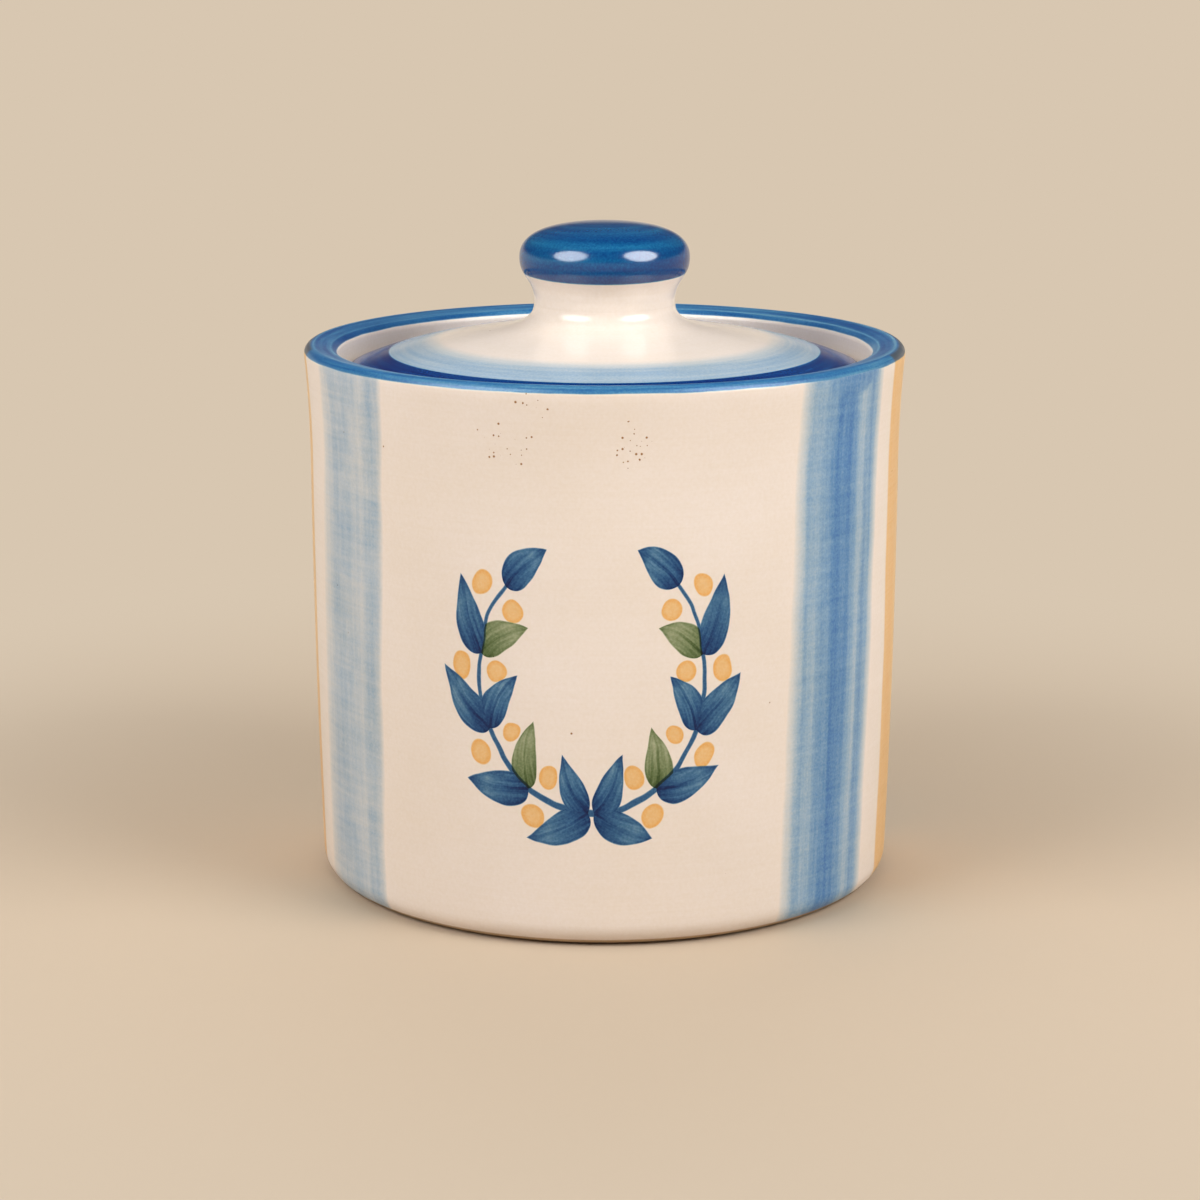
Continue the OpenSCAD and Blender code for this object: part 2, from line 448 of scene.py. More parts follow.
def glaze_skin(tree, colour, relief, roughness):
    """A fired glaze of that colour, a little glossier in its hollows than on its ridges."""
    rough = add(tree, "MapRange", {"Value": relief, **NOISE_SPAN,
                                   "To Min": roughness[0], "To Max": roughness[1]})[0]
    return SimpleNamespace(colour=colour, relief=relief, rough=rough)


def bare_clay(tree, at, mask, skin):
    """The skin, with matt, grainy stoneware where the glaze was wiped off for the kiln shelf."""
    grain = add(tree, "TexNoise", {"Vector": at.mm, "Scale": 1 / CLAY_GRAIN, "Detail": 4})[0]
    clay = add(tree, "Mix", {0: grain, 6: CLAY[0], 7: CLAY[1]}, data_type="RGBA")[2]
    return SimpleNamespace(
        colour=add(tree, "Mix", {0: mask, 6: skin.colour, 7: clay}, data_type="RGBA")[2],
        relief=add(tree, "Mix", {0: mask, 2: skin.relief, 3: grain})[0],
        rough=add(tree, "Mix", {0: mask, 2: skin.rough, 3: CLAY_ROUGHNESS})[0])


def show(tree, skin, ior):
    """Gives the skin to the material's shader."""
    bump = add(tree, "Bump", {"Height": skin.relief, "Strength": RELIEF_STRENGTH,
                              "Distance": RELIEF_DEPTH})[0]
    surface = add(tree, "BsdfPrincipled", {"Base Color": skin.colour, "Roughness": skin.rough,
                                           "Normal": bump, "IOR": ior})[0]
    add(tree, "OutputMaterial", {"Surface": surface})


def blank_material(name):
    """A material with an empty node tree."""
    material = bpy.data.materials.new(name)
    material.use_nodes = True
    material.node_tree.nodes.clear()
    return material


# Upright bands at the sides of the panel: its middle, their edges, and their lean up to the rim
PANEL_TURN = -5.8
BAND_IN = 41.2
BAND_OUT = 67
LEAN_START_Z = 30
BAND_LEAN = 2.45
HAND_WAVER = 0.9
HAND_WAVER_SPAN = 25
# Strokes across a band: the share of the way from its inner edge, and the coat there
LOADED_STROKE = (
    (0, 0), (0.07, 0.22), (0.14, 0.54), (0.24, 0.5), (0.33, 0.72), (0.41, 0.97), (0.55, 1),
    (0.63, 0.76), (0.7, 0.45), (0.75, 0.42), (0.81, 0.7), (0.88, 0.62), (0.93, 0.3), (1, 0))
DRY_STROKE = (
    (0, 0), (0.05, 0.23), (0.12, 0.36), (0.25, 0.22), (0.48, 0.33), (0.65, 0.32), (0.83, 0.13),
    (0.9, 0), (1, 0))
# Pool where the loaded stroke was begun: its reach across, its lower edge, and how ragged that is
POOL_ACROSS = ((0, 0), (0.28, 0), (0.36, 1), (0.8, 1), (0.9, 0), (1, 0))
POOL_Z = 132.2
POOL_EDGE = 1.5
POOL_RAGGED = 6
POOL_RAGGED_SPAN = 5
POOL_COAT = 0.85

# Ochre stripes up the sides of the jar: the middle between them, their edge and its softness
STRIPE_TURN = -3.9
STRIPE_IN = 73.4
STRIPE_EDGE = 0.9

# Painted rim: radius and height of the paint's edge inside and outside, its waver and its softness
RIM_PAINT_IN = (68, JAR_H / MM - 1.9)
RIM_PAINT_OUT = (73, JAR_H / MM - 1.6)
RIM_WAVER = 0.5
RIM_WAVER_SPAN = 14
RIM_SOFT = (0.12, 0.38)
# Crest of the rim, the thicker coat inwards of it that paints shade on the rim's inner part, and how much of
# the outer face fires grey over the stripes
RIM_CREST_R = 73.3
RIM_INWARD_SHADE_COAT = 1.15
RIM_INWARD_SHADE_REACH = 1
MET_SHARE = 0.85
MET_SOFT = 0.3
# Edges of the rim that the oxide draws away from, whose lighter lines are also painted highlights: radius,
# and the share of the coat that stays there
RIM_BREAKS_AND_HIGHLIGHTS = ((72.6, 0.7), (68.4, 0.6))
RIM_BREAK_HIGHLIGHT_HALF = 0.45

# Radii between which the jar's outside begins, height below which all is outside, bare foot and ledge
OUTSIDE_R = (71.3, 72.3)
UNDERSIDE_Z = 7.5
FOOT_GLAZED_Z = 1.9
FOOT_BARE_Z = 1.6
LEDGE_BARE = 0.9


def folded_turn(tree, at, turn, middle):
    """Turn from the middle of the nearer panel, front or back, with the waver of a hand."""
    from_middle = add(tree, "Math", {0: turn, 1: math.radians(middle)}, operation="SUBTRACT")[0]
    round_side = add(tree, "Math", {0: from_middle}, operation="ABSOLUTE")[0]
    past_side = add(tree, "Math", {0: round_side, 1: math.pi / 2}, operation="SUBTRACT")[0]
    from_side = add(tree, "Math", {0: past_side}, operation="ABSOLUTE")[0]
    fold = add(tree, "Math", {0: math.pi / 2, 1: from_side}, operation="SUBTRACT")[0]
    waver = add(tree, "TexNoise", {"Vector": at.mm, "Scale": 1 / HAND_WAVER_SPAN, "Detail": 1})[0]
    shift = add(tree, "MapRange", {"Value": waver, "To Min": -math.radians(HAND_WAVER),
                                   "To Max": math.radians(HAND_WAVER)})[0]
    return add(tree, "Math", {0: fold, 1: shift}, operation="ADD")[0]


def band_pool(tree, at, across):
    """Where the loaded stroke pooled below the rim, down to a ragged edge."""
    ragged = add(tree, "TexNoise", {"Vector": at.level, "Scale": 1 / POOL_RAGGED_SPAN, "Detail": 2})[0]
    rise = add(tree, "Math", {0: ragged, 1: POOL_RAGGED, 2: at.z}, operation="MULTIPLY_ADD")[0]
    high = add(tree, "MapRange", {"Value": rise, "From Min": POOL_Z, "From Max": POOL_Z + POOL_EDGE})[0]
    middle = add(tree, "ValToRGB", {0: across}, stops=POOL_ACROSS)[0]
    return add(tree, "Math", {0: middle, 1: high}, operation="MULTIPLY")[0]


def band_coats(tree, at):
    """Cobalt in the upright bands, whose strokes lean: nearly dry on the left, loaded on the right."""
    lean = add(tree, "MapRange", {"Value": at.z, "From Min": LEAN_START_Z, "From Max": WALL_TOP / MM,
                                  "To Max": math.radians(BAND_LEAN)})[0]
    upright = add(tree, "Math", {0: at.turn, 1: lean}, operation="SUBTRACT")[0]
    fold = folded_turn(tree, at, upright, PANEL_TURN)
    across = add(tree, "MapRange", {"Value": fold, "From Min": math.radians(BAND_IN),
                                    "From Max": math.radians(BAND_OUT)})[0]
    loaded = add(tree, "ValToRGB", {0: across}, stops=LOADED_STROKE)[0]
    pooled = add(tree, "Mix", {0: band_pool(tree, at, across), 2: loaded, 3: POOL_COAT})[0]
    ridges = streaks(tree, at.mm, *RIDGES)
    uneven = add(tree, "Math", {0: ridges, 1: streaks(tree, at.mm, *MOTTLE)}, operation="MULTIPLY")[0]
    brushed = add(tree, "Math", {0: streaks(tree, at.mm, *BRISTLES), 1: uneven}, operation="MULTIPLY")[0]
    caught = add(tree, "Math", {0: streaks(tree, at.mm, *PATCHES), 1: ridges}, operation="MULTIPLY")[0]
    dry = add(tree, "ValToRGB", {0: across}, stops=DRY_STROKE)[0]
    patchy = add(tree, "Math", {0: dry, 1: caught}, operation="MULTIPLY")[0]
    right = add(tree, "Math", {0: at.x, 1: 0}, operation="GREATER_THAN")[0]
    on_right = add(tree, "Math", {0: brushed, 1: right}, operation="MULTIPLY")[0]
    on_left = add(tree, "Math", {0: brushed, 1: on_right}, operation="SUBTRACT")[0]
    return [
        add(tree, "Math", {0: stroke, 1: share}, operation="MULTIPLY")[0]
        for stroke, share in ((patchy, on_left), (pooled, on_right))
    ]


def stripe_cover(tree, at):
    """Ochre in a broad stripe up each side, between the bands of the front and those of the back."""
    fold = folded_turn(tree, at, at.turn, STRIPE_TURN)
    return add(tree, "MapRange", {"Value": fold, "From Min": math.radians(STRIPE_IN),
                                  "From Max": math.radians(STRIPE_IN + STRIPE_EDGE)})[0]


def rim_cover(tree, at):
    """Where the rim is painted: over the top, and down to a hand-cut edge outside and inside."""
    edge = add(tree, "MapRange", {"Value": at.r, "From Min": RIM_PAINT_IN[0], "From Max": RIM_PAINT_OUT[0],
                                  "To Min": RIM_PAINT_IN[1], "To Max": RIM_PAINT_OUT[1]})[0]
    above = add(tree, "Math", {0: at.z, 1: edge}, operation="SUBTRACT")[0]
    waver = add(tree, "TexNoise", {"Vector": at.level, "Scale": 1 / RIM_WAVER_SPAN, "Detail": 2})[0]
    raised = add(tree, "Math", {0: waver, 1: RIM_WAVER, 2: above}, operation="MULTIPLY_ADD")[0]
    return add(tree, "MapRange", {"Value": raised, "From Min": RIM_SOFT[0], "From Max": RIM_SOFT[1]})[0]


def rim_coat(tree, at, rim):
    """Cobalt brushed round the rim: thicker inwards of its crest as painted shade, and drawn thin over its
    edges in lighter lines that are partly painted highlights.
    """
    # Painted shade: a thicker coat darkens the rim inwards of its crest
    inwards = add(tree, "MapRange", {"Value": at.r, "From Min": RIM_CREST_R,
                                     "From Max": RIM_CREST_R - RIM_INWARD_SHADE_REACH,
                                     "To Min": 1, "To Max": RIM_INWARD_SHADE_COAT})[0]
    bristles = streaks(tree, at.wheel, *RIM_BRISTLES)
    coat = add(tree, "Math", {0: bristles, 1: inwards}, operation="MULTIPLY")[0]
    # Thinner coat over the crest and the inner edge: oxide breaking at the edges, and also a painted
    # highlight line along each
    for edge_r, stays in RIM_BREAKS_AND_HIGHLIGHTS:
        past_edge = add(tree, "Math", {0: at.r, 1: edge_r}, operation="SUBTRACT")[0]
        apart = add(tree, "Math", {0: past_edge}, operation="ABSOLUTE")[0]
        thinned_and_highlit = add(tree, "MapRange", {"Value": apart, "From Max": RIM_BREAK_HIGHLIGHT_HALF, "To Min": stays})[0]
        coat = add(tree, "Math", {0: coat, 1: thinned_and_highlit}, operation="MULTIPLY")[0]
    return add(tree, "Math", {0: rim, 1: coat}, operation="MULTIPLY")[0]


def oxides_met(tree, at, rim, stripe):
    """Where a stripe runs up over the outer face of the painted rim."""
    outer_face = add(tree, "MapRange", {"Value": at.r, "From Min": RIM_CREST_R - MET_SOFT,
                                        "From Max": RIM_CREST_R + MET_SOFT, "To Max": MET_SHARE})[0]
    crossing = add(tree, "Math", {0: stripe, 1: rim}, operation="MULTIPLY")[0]
    return add(tree, "Math", {0: crossing, 1: outer_face}, operation="MULTIPLY")[0]


def wall_cover(tree, at, rim):
    """The jar's outside below the painted rim, where bands, stripes and wreath may lie."""
    outer_wall = add(tree, "MapRange", {"Value": at.r, "From Min": OUTSIDE_R[0],
                                        "From Max": OUTSIDE_R[1]})[0]
    near_foot = add(tree, "Math", {0: at.z, 1: UNDERSIDE_Z}, operation="LESS_THAN")[0]
    outside = add(tree, "Math", {0: outer_wall, 1: near_foot}, operation="MAXIMUM")[0]
    below_rim = add(tree, "Math", {0: 1.0, 1: rim}, operation="SUBTRACT")[0]
    return add(tree, "Math", {0: outside, 1: below_rim}, operation="MULTIPLY")[0]


def jar_bare(tree, at):
    """Where the jar is bare of glaze: on its foot ring, and on the ledge that the lid rests on."""
    foot = add(tree, "MapRange", {"Value": at.z, "From Min": FOOT_GLAZED_Z, "From Max": FOOT_BARE_Z})[0]
    on_ledge = add(tree, "Math", {0: at.z, 1: LEDGE_Z / MM, 2: LEDGE_BARE}, operation="COMPARE")[0]
    within = add(tree, "Math", {0: at.r, 1: RIM_IN_R / MM}, operation="LESS_THAN")[0]
    ledge = add(tree, "Math", {0: on_ledge, 1: within}, operation="MULTIPLY")[0]
    return add(tree, "Math", {0: foot, 1: ledge}, operation="MAXIMUM")[0]


# Painted wreath on the front: its turn, middle height, half width and half height of its ring of stems
WREATH_TURN = -2.5
WREATH_Z = 67
WREATH_ACROSS = 27
WREATH_UP = 33
WREATH_R = 30
# Leaf pairs that would go up half the ring, those that do, and where stem and tip leaf end
PAIRS_TO_TOP = 5.6
PAIRS = 4
STEM_END = 4.15
TIP_END = 4.98
PAIR_STEP = math.pi * WREATH_R / PAIRS_TO_TOP
LEAF_START = 0.9
LEAF_LENGTH = (15.2, 17)
TIP_LENGTH = 14
LEAF_TILT = (32, 42)
LEAF_HALF = 3.9
LEAF_BEND = -1.4
# Greatest value of the leaf's outline, the root of the way along it times what is left of that way
LEAF_OUTLINE_PEAK = 2 / 27 ** 0.5
# Coat of a leaf: along it, in the pool at its edge, and in bristle marks that differ from leaf to leaf
LEAF_COAT = 3.4
LEAF_STROKE = ((0, 0.9), (0.3, 0.6), (0.7, 0.4), (1, 0.7))
LEAF_POOL = 0.9
LEAF_POOL_COAT = 0.7
LEAF_MARKS = (9, 0.9, 0.025)
LEAF_MARK_COATS = (0.75, 1.25)
GREEN_SHARE = 0.75
VEIN_HALF = 0.45
STEM_HALF = 0.75
STEM_COAT = 2
# Berries: radius, place behind a joint and out from the stem, coat at the dried ring and inside it
BERRY_R = (2.5, 3.1)
BERRY_BACK = 2.6
BERRY_OUT = 5
BERRY_RING = 1.4
BERRY_COATS = (1.9, 1.2)
BERRY_SEED = 7
HAND_WARP = 2.6
HAND_WARP_SPAN = 13
PAINT_EDGE = 0.3


def wreath_frame(tree, at):
    """Places on the wreath: along and off its stem, which pair and side, and a chance for each leaf."""
    turn = add(tree, "Math", {0: at.turn, 1: math.radians(WREATH_TURN)}, operation="SUBTRACT")[0]
    across = add(tree, "Math", {0: turn, 1: PANEL_R}, operation="MULTIPLY")[0]
    up = add(tree, "Math", {0: at.z, 1: WREATH_Z}, operation="SUBTRACT")[0]
    flat = add(tree, "CombineXYZ", {0: across, 1: up})[0]
    shake = add(tree, "TexNoise", {"Vector": at.mm, "Scale": 1 / HAND_WARP_SPAN, "Detail": 2})[1]
    centred = add(tree, "VectorMath", {0: shake, 1: NOISE_MIDDLE}, operation="SUBTRACT")[0]
    drawn = add(tree, "VectorMath", {0: centred, 1: (HAND_WARP, HAND_WARP, 0), 2: flat},
                operation="MULTIPLY_ADD")[0]
    ring = add(tree, "VectorMath", {0: drawn, 1: (WREATH_ACROSS, WREATH_UP, 1)}, operation="DIVIDE")[0]
    u, v = add(tree, "SeparateXYZ", {0: ring})[:2]
    bough = add(tree, "Math", {0: u}, operation="SIGN")[0]
    aside = add(tree, "Math", {0: u}, operation="ABSOLUTE")[0]
    down = add(tree, "Math", {0: v, 1: -1}, operation="MULTIPLY")[0]
    angle = add(tree, "Math", {0: aside, 1: down}, operation="ARCTAN2")[0]
    along = add(tree, "Math", {0: angle, 1: PAIRS_TO_TOP / math.pi}, operation="MULTIPLY")[0]
    reach = add(tree, "VectorMath", {0: ring}, operation="LENGTH")["Value"]
    off_stem = add(tree, "Math", {0: reach, 1: WREATH_R, 2: -WREATH_R}, operation="MULTIPLY_ADD")[0]
    side = add(tree, "Math", {0: off_stem}, operation="SIGN")[0]
    off = add(tree, "Math", {0: off_stem}, operation="ABSOLUTE")[0]
    pair = add(tree, "Math", {0: along}, operation="FLOOR")[0]
    share = add(tree, "Math", {0: along}, operation="FRACT")[0]
    leaf_key = add(tree, "CombineXYZ", {0: pair, 1: bough, 2: side})[0]
    chance = add(tree, "SeparateColor", {0: add(tree, "TexWhiteNoise", {"Vector": leaf_key})["Color"]})
    return SimpleNamespace(along=along, pair=pair, share=share, off=off, side=side, chance=chance)


def wreath_leaves(tree, on):
    """Cover of the leaves, and where a point lies on its leaf: along it, off its vein, in from its edge."""
    forward = add(tree, "Math", {0: on.share, 1: PAIR_STEP, 2: -LEAF_START}, operation="MULTIPLY_ADD")[0]
    spread = add(tree, "MapRange", {"Value": on.chance[0], "To Min": -math.radians(LEAF_TILT[0]),
                                    "To Max": -math.radians(LEAF_TILT[1])})[0]
    paired = add(tree, "Math", {0: on.pair, 1: PAIRS - 0.5}, operation="LESS_THAN")[0]
    tilt = add(tree, "Math", {0: spread, 1: paired}, operation="MULTIPLY")[0]
    corner = add(tree, "CombineXYZ", {0: forward, 1: on.off})[0]
    turned_in = add(tree, "VectorRotate", {"Vector": corner, "Angle": tilt}, rotation_type="Z_AXIS")[0]
    length_way, width_way = add(tree, "SeparateXYZ", {0: turned_in})[:2]
    grown = add(tree, "MapRange", {"Value": on.chance[1], "To Min": LEAF_LENGTH[0],
                                   "To Max": LEAF_LENGTH[1]})[0]
    length = add(tree, "Mix", {0: paired, 2: TIP_LENGTH, 3: grown})[0]
    run = add(tree, "Math", {0: length_way, 1: length}, operation="DIVIDE", use_clamp=True)[0]
    bend = add(tree, "Math", {0: run, 1: run}, operation="MULTIPLY")[0]
    bent = add(tree, "Math", {0: bend, 1: LEAF_BEND, 2: width_way}, operation="MULTIPLY_ADD")[0]
    straight = add(tree, "Mix", {0: paired, 2: width_way, 3: bent})[0]
    aside = add(tree, "Math", {0: straight}, operation="ABSOLUTE")[0]
    swell = add(tree, "Math", {0: run}, operation="SQRT")[0]
    taper = add(tree, "Math", {0: 1.0, 1: run}, operation="SUBTRACT")[0]
    shape = add(tree, "Math", {0: swell, 1: taper}, operation="MULTIPLY")[0]
    inside = add(tree, "Math", {0: shape, 1: LEAF_HALF / LEAF_OUTLINE_PEAK}, operation="MULTIPLY")[0]
    depth = add(tree, "Math", {0: inside, 1: aside}, operation="SUBTRACT")[0]
    cover = add(tree, "MapRange", {"Value": depth, "From Max": PAINT_EDGE})[0]
    ended = add(tree, "Math", {0: on.along, 1: TIP_END}, operation="LESS_THAN")[0]
    shown = add(tree, "Math", {0: cover, 1: ended}, operation="MULTIPLY")[0]
    hair = add(tree, "CombineXYZ", {0: length_way, 1: straight, 2: on.chance[2]})[0]
    return SimpleNamespace(cover=shown, run=run, aside=aside, depth=depth, taper=taper, hair=hair)


def leaf_coat(tree, leaf):
    """Oxide on a leaf: laid on at its stem, drawn thin to its tip, pooled at its edge and along its vein."""
    bristles = add(tree, "VectorMath", {0: leaf.hair, 1: LEAF_MARKS}, operation="DIVIDE")[0]
    loading = add(tree, "TexNoise", {"Vector": bristles, "Scale": 1, "Detail": 2})[0]
    brushed = add(tree, "MapRange", {"Value": loading, **NOISE_SPAN, "To Min": LEAF_MARK_COATS[0],
                                     "To Max": LEAF_MARK_COATS[1]})[0]
    drawn_out = add(tree, "ValToRGB", {0: leaf.run}, stops=LEAF_STROKE)[0]
    pooled = add(tree, "MapRange", {"Value": leaf.depth, "From Max": LEAF_POOL,
                                    "To Min": LEAF_POOL_COAT, "To Max": 0})[0]
    vein = add(tree, "MapRange", {"Value": leaf.aside, "From Min": VEIN_HALF, "From Max": VEIN_HALF / 2})[0]
    fading = add(tree, "Math", {0: vein, 1: leaf.taper, 2: pooled}, operation="MULTIPLY_ADD")[0]
    laid = add(tree, "Math", {0: drawn_out, 1: LEAF_COAT, 2: fading}, operation="MULTIPLY_ADD")[0]
    coat = add(tree, "Math", {0: laid, 1: brushed}, operation="MULTIPLY")[0]
    return add(tree, "Math", {0: coat, 1: leaf.cover}, operation="MULTIPLY")[0]


def stem_coat(tree, on):
    """Cobalt in the stem, which narrows towards the tip."""
    half = add(tree, "MapRange", {"Value": on.along, "From Max": PAIRS, "To Min": STEM_HALF,
                                  "To Max": STEM_HALF / 2})[0]
    depth = add(tree, "Math", {0: half, 1: on.off}, operation="SUBTRACT")[0]
    cover = add(tree, "MapRange", {"Value": depth, "From Min": -PAINT_EDGE / 2,
                                   "From Max": PAINT_EDGE / 2, "To Max": STEM_COAT})[0]
    reached = add(tree, "Math", {0: on.along, 1: STEM_END}, operation="LESS_THAN")[0]
    return add(tree, "Math", {0: cover, 1: reached}, operation="MULTIPLY")[0]


def berry_coat(tree, on):
    """Ochre in the berries, one at each side of each joint of the stem, ringed where the drop dried."""
    shifted = add(tree, "Math", {0: on.along, 1: 0.5}, operation="ADD")[0]
    joint = add(tree, "Math", {0: shifted}, operation="FLOOR")[0]
    from_joint = add(tree, "Math", {0: on.along, 1: joint}, operation="SUBTRACT")[0]
    past = add(tree, "Math", {0: from_joint, 1: PAIR_STEP, 2: BERRY_BACK}, operation="MULTIPLY_ADD")[0]
    out = add(tree, "Math", {0: on.off, 1: BERRY_OUT}, operation="SUBTRACT")[0]
    spot = add(tree, "CombineXYZ", {0: past, 1: out})[0]
    apart = add(tree, "VectorMath", {0: spot}, operation="LENGTH")["Value"]
    key = add(tree, "CombineXYZ", {0: joint, 1: on.side, 2: BERRY_SEED})[0]
    luck = add(tree, "TexWhiteNoise", {"Vector": key})["Value"]
    size = add(tree, "MapRange", {"Value": luck, "To Min": BERRY_R[0], "To Max": BERRY_R[1]})[0]
    depth = add(tree, "Math", {0: size, 1: apart}, operation="SUBTRACT")[0]
    cover = add(tree, "MapRange", {"Value": depth, "From Max": PAINT_EDGE})[0]
    ripe = add(tree, "MapRange", {"Value": depth, "From Max": BERRY_RING,
                                  "To Min": BERRY_COATS[0], "To Max": BERRY_COATS[1]})[0]
    first = add(tree, "Math", {0: joint, 1: 0.5}, operation="GREATER_THAN")[0]
    last = add(tree, "Math", {0: joint, 1: PAIRS + 0.5}, operation="LESS_THAN")[0]
    between = add(tree, "Math", {0: first, 1: last}, operation="MULTIPLY")[0]
    berries = add(tree, "Math", {0: cover, 1: between}, operation="MULTIPLY")[0]
    return add(tree, "Math", {0: berries, 1: ripe}, operation="MULTIPLY")[0]


def wreath(tree, at, below):
    """A wreath of two leafy, berried boughs, painted over the colour below."""
    on = wreath_frame(tree, at)
    leaf = wreath_leaves(tree, on)
    laid = leaf_coat(tree, leaf)
    inner = add(tree, "Math", {0: on.side, 1: 0}, operation="LESS_THAN")[0]
    odd = add(tree, "Math", {0: on.pair, 1: 2}, operation="MODULO")[0]
    green = add(tree, "Math", {0: inner, 1: odd}, operation="MULTIPLY")[0]
    in_green = add(tree, "Math", {0: laid, 1: green}, operation="MULTIPLY")[0]
    in_blue = add(tree, "Math", {0: laid, 1: in_green}, operation="SUBTRACT")[0]
    olive = add(tree, "Math", {0: in_green, 1: GREEN_SHARE}, operation="MULTIPLY")[0]
    cobalt = add(tree, "Math", {0: in_blue, 1: stem_coat(tree, on)}, operation="MAXIMUM")[0]
    free = add(tree, "Math", {0: 1.0, 1: leaf.cover}, operation="SUBTRACT")[0]
    ochre = add(tree, "Math", {0: berry_coat(tree, on), 1: free}, operation="MULTIPLY")[0]
    return washed(tree, below, ((OCHRE, ochre), (OLIVE, olive), (COBALT_LEAF, cobalt)))


# Painted lid: heights of its painted top and its bare seat, and radii and coats of its two rings
LID_TOP_Z = (LEDGE_Z / MM + 4.1, LEDGE_Z / MM + 4.6)
LID_GLAZED_Z = LEDGE_Z / MM + 0.5
LID_BARE_Z = LEDGE_Z / MM + 0.2
PALE_RING_R = (40, 48.5)
PALE_RING_COAT = 0.42
DARK_RING_R = (53.8, 54.2)
DARK_RING_COAT = 2.7

# Painted knob: heights of the paint's edge and its tilt, and the load gathered above that edge
KNOB_PAINT_Z = (KNOB_SEAT_Z / MM + 8.2, KNOB_SEAT_Z / MM + 8.5)
KNOB_PAINT_TILT = -0.06
KNOB_LOAD_Z = (KNOB_SEAT_Z / MM + 8.6, KNOB_SEAT_Z / MM + 13.1)
KNOB_LOAD = 1.4


def stoneware_jar():
    """Satin cream glaze on thrown stoneware: soft sheen, watery cobalt bands, warm ochre side stripes."""
    material = blank_material("glazed_stoneware_brushed_bands")
    tree = material.node_tree
    at = place(tree)
    cream, relief = cream_glaze(tree, at)
    freckled = add(tree, "Mix", {0: freckles(tree, at), 6: cream, 7: SPECK}, data_type="RGBA")[2]
    stripe = stripe_cover(tree, at)
    ochre_load = streaks(tree, at.mm, *OCHRE_BRISTLES)
    ochre = add(tree, "Math", {0: stripe, 1: ochre_load}, operation="MULTIPLY")[0]
    dry, loaded = band_coats(tree, at)
    banded = washed(tree, freckled, ((OCHRE, ochre), (COBALT_DRY, dry), (COBALT_WASH, loaded)))
    leafed = wreath(tree, at, banded)
    rim = rim_cover(tree, at)
    decorated = add(tree, "Mix", {0: wall_cover(tree, at, rim), 6: cream, 7: leafed}, data_type="RGBA")[2]
    rimmed = washed(tree, decorated, ((COBALT_RIM, rim_coat(tree, at, rim)),))
    met = oxides_met(tree, at, rim, stripe)
    painted = add(tree, "Mix", {0: met, 6: rimmed, 7: OXIDES_MET}, data_type="RGBA")[2]
    skin = glaze_skin(tree, painted, relief, JAR_ROUGHNESS)
    show(tree, bare_clay(tree, at, jar_bare(tree, at), skin), JAR_IOR)
    return material


def stoneware_lid():
    """Glossy cream glaze on the crown, a pale cobalt wash towards the edge and a dark band round it."""
    material = blank_material("glazed_stoneware_banded")
    tree = material.node_tree
    at = place(tree)
    cream, relief = cream_glaze(tree, at)
    bristles = streaks(tree, at.wheel, *LID_BRISTLES)
    top = add(tree, "MapRange", {"Value": at.z, "From Min": LID_TOP_Z[0], "From Max": LID_TOP_Z[1]})[0]
    brushed = add(tree, "Math", {0: bristles, 1: top}, operation="MULTIPLY")[0]
    pale_ring = add(tree, "MapRange", {"Value": at.r, "From Min": PALE_RING_R[0], "From Max": PALE_RING_R[1],
                                       "To Max": PALE_RING_COAT}, interpolation_type="SMOOTHSTEP")[0]
    dark_ring = add(tree, "MapRange", {"Value": at.r, "From Min": DARK_RING_R[0], "From Max": DARK_RING_R[1],
                                       "To Max": DARK_RING_COAT})[0]
    pale, dark = [
        add(tree, "Math", {0: ring, 1: brushed}, operation="MULTIPLY")[0] for ring in (pale_ring, dark_ring)
    ]
    painted = washed(tree, cream, ((COBALT_WASH, pale), (COBALT_THICK, dark)))
    bare = add(tree, "MapRange", {"Value": at.z, "From Min": LID_GLAZED_Z, "From Max": LID_BARE_Z})[0]
    skin = glaze_skin(tree, painted, relief, LID_ROUGHNESS)
    show(tree, bare_clay(tree, at, bare, skin), LID_IOR)
    return material


def stoneware_knob():
    """Deep cobalt brushed round the bun under a glossy glaze, thick and thin in bands, over a cream neck."""
    material = blank_material("glazed_stoneware_cobalt")
    tree = material.node_tree
    at = place(tree)
    cream, relief = cream_glaze(tree, at)
    bristles = streaks(tree, at.wheel, *KNOB_BRISTLES)
    askew = add(tree, "Math", {0: at.y, 1: KNOB_PAINT_TILT, 2: at.z}, operation="MULTIPLY_ADD")[0]
    cover = add(tree, "MapRange", {"Value": askew, "From Min": KNOB_PAINT_Z[0],
                                   "From Max": KNOB_PAINT_Z[1]})[0]
    gathered = add(tree, "MapRange", {"Value": at.z, "From Min": KNOB_LOAD_Z[0], "From Max": KNOB_LOAD_Z[1],
                                      "To Min": KNOB_LOAD, "To Max": 1})[0]
    loading = add(tree, "Math", {0: bristles, 1: gathered}, operation="MULTIPLY")[0]
    coat = add(tree, "Math", {0: cover, 1: loading}, operation="MULTIPLY")[0]
    painted = washed(tree, cream, ((COBALT_THICK, coat),))
    show(tree, glaze_skin(tree, painted, relief, KNOB_ROUGHNESS), KNOB_IOR)
    return material


PIECES = (
    (turned("jar_pot", jar_outline(), inside_wall), "jar", "jar", "jar_glaze", stoneware_jar),
    (turned("lid_disc", lid_outline()), "lid", "lid", "lid_glaze", stoneware_lid),
    (turned("knob_bun", knob_outline()), "knob", "lid", "knob_glaze", stoneware_knob),
)
for piece, node, body, slot, finish in PIECES:
    piece.data.materials.append(finish())
    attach(piece, body)
    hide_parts(node)

# Camera, as the photograph was taken, with a frame 1200 pixels square
CAMERA_DISTANCE = 790 * MM
CAMERA_ELEVATION = math.radians(12.92)
AIM = Vector((-1.15, 0, 68.5)) * MM
FOCAL_PIXELS = 3098
FRAME_PIXELS = 1200
SENSOR = 36

